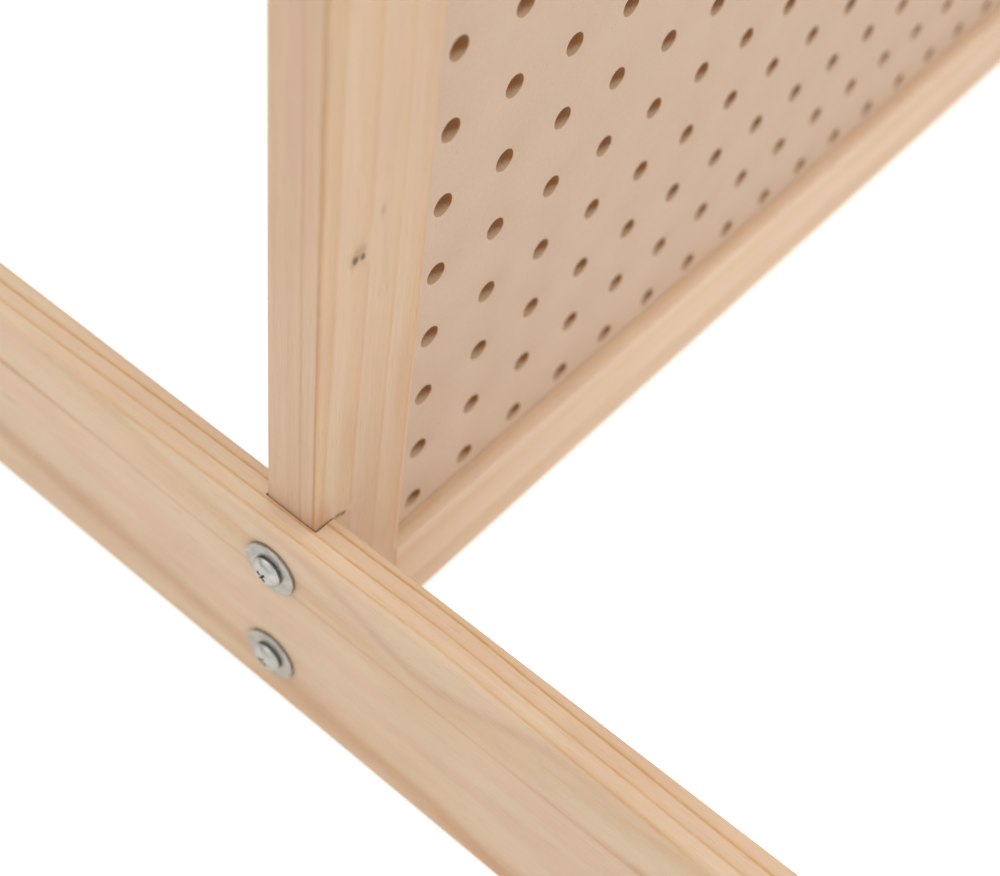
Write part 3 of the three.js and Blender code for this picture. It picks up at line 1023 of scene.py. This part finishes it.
def build():
    foot("left", left_foot_wood())
    foot("right", right_foot_wood())
    stile("left", left_stile_wood())
    stile("right", right_stile_wood())
    rail("bottom", bottom_rail_wood())
    rail("top", top_rail_wood())
    pegboard(fibreboard_face("fibreboard_face"), fibreboard_cut("fibreboard_cut"))
    # The last value of each is the painted shade on the side walls
    zinc = zinc_plate("zinc_plate", colour(197, 194, 187), colour(178, 177, 170), 0.25)
    screw_zinc = zinc_plate("screw_zinc", colour(212, 209, 203), colour(194, 193, 187), 0.75)
    brass = machined_brass()
    dowel_wood = beech("beech")
    turns = iter(RECESS_TURNS)
    for side in SIDES:
        for level in LEVELS:
            washer(side, level, zinc)
            screw(side, level, next(turns), screw_zinc)
            insert(side, level, brass)
    for node in dowel_nodes():
        dowel(node, dowel_wood)


# ---- Floor, light and camera ----

def floor():
    """A pale floor that is brightest round the stand and glows a little to the camera, to come out white."""
    bpy.ops.mesh.primitive_plane_add(size=12, location=(0, 0, 0))
    plane = bpy.context.object
    plane.name = "studio_floor"
    w = Finish("studio_floor")
    here = w.place()
    shade = w.ease(w.noise(here, scale=0.02), 0.3, 0.7, 0.92, 0.94)
    # Distance from the middle, as a multiple of an ellipse a little larger than the stand
    distance = w.vector("LENGTH", w.vector("MULTIPLY", here, (1 / 330, 1 / 300, 0)))
    glow = w.ease(distance, 0.6, 2.2, 0.1, 0.0)
    seen = w.node("ShaderNodeLightPath").outputs["Is Camera Ray"]
    w.set(Base_Color=w.combine(shade, shade, shade), Roughness=0.9, Specular_IOR_Level=0.1)
    w.set(Emission_Color=(1, 1, 1, 1), Emission_Strength=w.add(glow, w.times(seen, 0.47)))
    plane.data.materials.append(w.material)


def sky():
    """White to the camera. To the stand, a soft studio: bright overhead, and dim where the camera is."""
    world = bpy.data.worlds.new("studio")
    bpy.context.scene.world = world
    world.use_nodes = True
    w = Wiring(world.node_tree)
    background = w.tree.nodes["Background"]
    direction = w.node("ShaderNodeTexCoord").outputs["Generated"]
    brightest = Vector((-0.04, -0.19, 0.98)).normalized()
    dimmest = Vector((-0.44, -0.4, 0.8)).normalized()
    overhead = w.math("MAXIMUM", w.vector("DOT_PRODUCT", direction, brightest), 0.0)
    glow = w.add(w.times(overhead, 1.32), 0.35)
    near_camera = w.vector("DOT_PRODUCT", direction, dimmest)
    glow = w.times(glow, w.ease(near_camera, 0.87, 0.98, 1.0, 0.35))
    seen = w.node("ShaderNodeLightPath").outputs["Is Camera Ray"]
    w.plug(background.inputs["Strength"], w.math("MAXIMUM", glow, w.times(seen, 1.05)))
    w.plug(background.inputs["Color"], (1, 1, 1, 1))


def camera():
    """Close over the near lower corner, looking down along the board."""
    # The eye stands off from the point where the near stile's outer front arris meets the foot's top
    joint = Vector((span("stile_left", X)[0], span("stile_left", Y)[0], span("foot_left", Z)[1]))
    eye_place = joint + Vector((-210.0, -191.3, 389.7)) * MM
    # The heading is turned from +Y towards +X, the dip is below level, and the roll is about the view
    heading, dip, roll = math.radians(57.28), math.radians(50.16), math.radians(9.22)
    forward = Vector((math.sin(heading) * math.cos(dip), math.cos(heading) * math.cos(dip), -math.sin(dip)))
    level = forward.cross(AXES[Z]).normalized()
    right = level * math.cos(roll) + level.cross(forward) * math.sin(roll)
    data = bpy.data.cameras.new("camera")
    data.sensor_width = 36
    data.lens = 60.7
    eye = bpy.data.objects.new("camera", data)
    bpy.context.scene.collection.objects.link(eye)
    turn = Matrix((right, right.cross(forward), -forward)).transposed().to_4x4()
    eye.matrix_world = Matrix.Translation(eye_place) @ turn
    # The sharpest plane crosses the board a few holes in from the near stile
    focus = bpy.data.objects.new("focus", None)
    bpy.context.scene.collection.objects.link(focus)
    focus.location = (-200 * MM, 0, 200 * MM)
    data.dof.use_dof = True
    data.dof.focus_object = focus
    data.dof.aperture_fstop = 9
    bpy.context.scene.camera = eye


build()
floor()
sky()
camera()
bpy.context.scene.view_settings.view_transform = "Standard"
